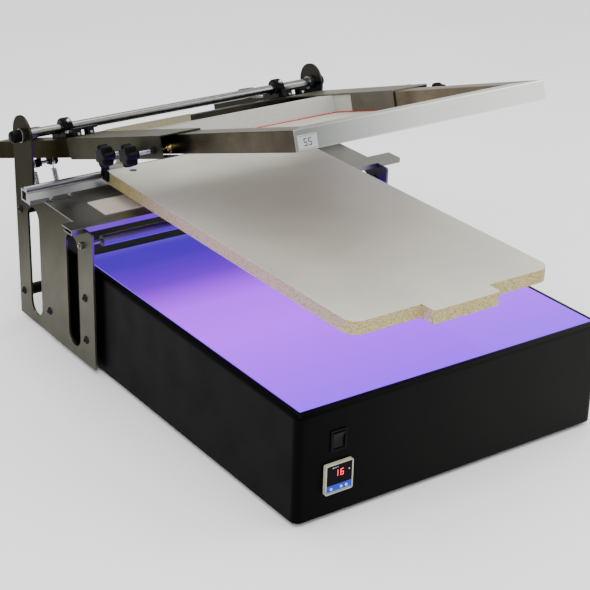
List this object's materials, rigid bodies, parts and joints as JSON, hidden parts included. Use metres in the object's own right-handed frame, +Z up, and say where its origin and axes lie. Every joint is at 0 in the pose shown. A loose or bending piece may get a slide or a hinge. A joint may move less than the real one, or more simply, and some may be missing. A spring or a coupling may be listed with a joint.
{
  "type": "screen printing press",
  "caption": "Tabletop screen printing press: shirt platen and hinged, spring-lifted screen in screw clamps, on a lit glass-topped exposure unit with timer.",
  "frame": {"origin": "on the table, in the middle of the whole press seen from above with the screen raised: 10 mm right of the exposure unit's middle plane and 133.4 mm behind its middle", "axes": "+Z up, -Y the front with the timer, +Y the rear with the pivot shaft, +X the right-hand side seen from the front"},
  "size_m": [0.67, 1.0208, 0.5447],
  "materials": {
    "black_powder_coat": "fine textured satin",
    "clear_glass": "polished, lit from below",
    "foam": "matte",
    "rubber_black": "matte",
    "tray_bright": "bright",
    "lamp_glass": "glowing tube",
    "stainless": "brushed",
    "polished_steel": "ground shaft",
    "zinc": "zinc plated",
    "black_steel": "satin",
    "black_plastic": "satin moulded",
    "panel_plastic": "satin",
    "pale_plastic": "satin",
    "dark_window": "gloss",
    "rail_aluminium": "anodised",
    "frame_aluminium": "brushed",
    "chipboard": "cut edge",
    "laminate": "smooth satin",
    "spacer_sheet": "satin",
    "mesh_fabric": "fine woven",
    "glue": "glossy bead",
    "tape_white": "matte",
    "brass": "turned",
    "facing_cream": "satin",
    "spring_steel": "bright drawn"
  },
  "bodies": {
    "base": {"unit_shell": "black_powder_coat", "bottom_cover": "black_powder_coat", "rubber_feet": "rubber_black", "glass_frame": "black_steel", "glass_seal": "foam", "glass_top": "clear_glass", "reflector_tray": "tray_bright", "uv_lamps": "lamp_glass", "lamp_holders": "pale_plastic", "timer_body": "panel_plastic", "timer_window": "dark_window", "switch_frame": "black_plastic", "power_inlet": "black_plastic", "side_plate_left": "stainless", "side_plate_right": "stainless", "plate_spacers": "zinc", "plate_bolts": "black_steel", "tie_bars": "black_steel", "front_tie_tube": "polished_steel", "front_tie_stud": "zinc", "pivot_shaft": "polished_steel", "shaft_collars": "zinc", "shaft_caps": "black_plastic", "platen_shelf": "stainless", "rail": "rail_aluminium", "platen_spacers": "spacer_sheet", "platen_board": "chipboard", "platen_laminate": "laminate", "platen_screws": "zinc", "platen_brackets": "zinc", "platen_stops": "black_steel", "lift_springs": "spring_steel"},
    "screen_carrier": {"screen_frame": "frame_aluminium", "screen_mesh": "mesh_fabric", "mesh_glue_bead": "glue", "frame_tape": "tape_white", "mesh_count_label": "tape_white", "arm_crossbar": "stainless", "crossbar_facing": "facing_cream", "clamp_channels": "stainless", "swing_arms": "stainless", "pivot_blocks": "black_plastic", "arm_screws": "zinc", "spring_pins": "zinc", "arm_caps": "black_plastic", "shaft_guards": "black_steel"},
    "switch_rocker": {"switch_rocker": "black_plastic"},
    "timer_key_1": {"timer_key_1": "pale_plastic"},
    "timer_key_2": {"timer_key_2": "pale_plastic"},
    "timer_key_3": {"timer_key_3": "pale_plastic"},
    "tail_knob_left": {"tail_knob_left": "black_plastic"},
    "clamp_pad_left_1": {"clamp_pad_left_1": "brass"},
    "clamp_knob_left_1": {"clamp_knob_left_1": "black_plastic"},
    "clamp_pad_left_2": {"clamp_pad_left_2": "brass"},
    "clamp_knob_left_2": {"clamp_knob_left_2": "black_plastic"},
    "tail_knob_right": {"tail_knob_right": "black_plastic"},
    "clamp_pad_right_1": {"clamp_pad_right_1": "brass"},
    "clamp_knob_right_1": {"clamp_knob_right_1": "black_plastic"},
    "clamp_pad_right_2": {"clamp_pad_right_2": "brass"},
    "clamp_knob_right_2": {"clamp_knob_right_2": "black_plastic"}
  },
  "joints": [
    {"name": "screen_tilt", "type": "hinge", "parent": "base", "child": "screen_carrier", "pos_m": [-0.01, 0.29363, 0.345], "axis": [-1, 0, 0], "range_deg": [-17.6, 12], "deforming": ["lift_springs"]},
    {"name": "power_rocker", "type": "hinge", "parent": "base", "child": "switch_rocker", "pos_m": [-0.2245, -0.49837, 0.125], "axis": [1, 0, 0], "range_deg": [-14, 0]},
    {"name": "timer_key_1_press", "type": "slide", "parent": "base", "child": "timer_key_1", "axis": [0, 1, 0], "range_m": [0, 0.0008], "stiffness_N_per_m": 600},
    {"name": "timer_key_2_press", "type": "slide", "parent": "base", "child": "timer_key_2", "axis": [0, 1, 0], "range_m": [0, 0.0008], "stiffness_N_per_m": 600},
    {"name": "timer_key_3_press", "type": "slide", "parent": "base", "child": "timer_key_3", "axis": [0, 1, 0], "range_m": [0, 0.0008], "stiffness_N_per_m": 600},
    {"name": "clamp_feed_left_1", "type": "slide", "parent": "screen_carrier", "child": "clamp_pad_left_1", "axis": [-1, 0, 0], "range_m": [0, 0.008]},
    {"name": "clamp_turn_left_1", "type": "hinge", "parent": "clamp_pad_left_1", "child": "clamp_knob_left_1", "pos_m": [-0.304, -0.06883, 0.42274], "axis": [-1, 0, 0], "range_deg": [0, 2881]},
    {"name": "clamp_feed_left_2", "type": "slide", "parent": "screen_carrier", "child": "clamp_pad_left_2", "axis": [-1, 0, 0], "range_m": [0, 0.008]},
    {"name": "clamp_turn_left_2", "type": "hinge", "parent": "clamp_pad_left_2", "child": "clamp_knob_left_2", "pos_m": [-0.304, 0.00551, 0.39915], "axis": [-1, 0, 0], "range_deg": [0, 2881]},
    {"name": "tail_knob_turn_left", "type": "hinge", "parent": "screen_carrier", "child": "tail_knob_left", "pos_m": [-0.234, 0.40308, 0.29979], "axis": [0, 0.3024, 0.9532], "range_deg": [0, 180]},
    {"name": "clamp_feed_right_1", "type": "slide", "parent": "screen_carrier", "child": "clamp_pad_right_1", "axis": [1, 0, 0], "range_m": [0, 0.008]},
    {"name": "clamp_turn_right_1", "type": "hinge", "parent": "clamp_pad_right_1", "child": "clamp_knob_right_1", "pos_m": [0.284, -0.06883, 0.42274], "axis": [1, 0, 0], "range_deg": [0, 2881]},
    {"name": "clamp_feed_right_2", "type": "slide", "parent": "screen_carrier", "child": "clamp_pad_right_2", "axis": [1, 0, 0], "range_m": [0, 0.008]},
    {"name": "clamp_turn_right_2", "type": "hinge", "parent": "clamp_pad_right_2", "child": "clamp_knob_right_2", "pos_m": [0.284, 0.00551, 0.39915], "axis": [1, 0, 0], "range_deg": [0, 2881]},
    {"name": "tail_knob_turn_right", "type": "hinge", "parent": "screen_carrier", "child": "tail_knob_right", "pos_m": [0.214, 0.40308, 0.29979], "axis": [0, 0.3024, 0.9532], "range_deg": [0, 180]}
  ],
  "couplings": [
    {"joint": "clamp_turn_left_1", "follows": "clamp_feed_left_1", "rad_per_m": 6283.2},
    {"joint": "clamp_turn_left_2", "follows": "clamp_feed_left_2", "rad_per_m": 6283.2},
    {"joint": "clamp_turn_right_1", "follows": "clamp_feed_right_1", "rad_per_m": 6283.2},
    {"joint": "clamp_turn_right_2", "follows": "clamp_feed_right_2", "rad_per_m": 6283.2}
  ]
}
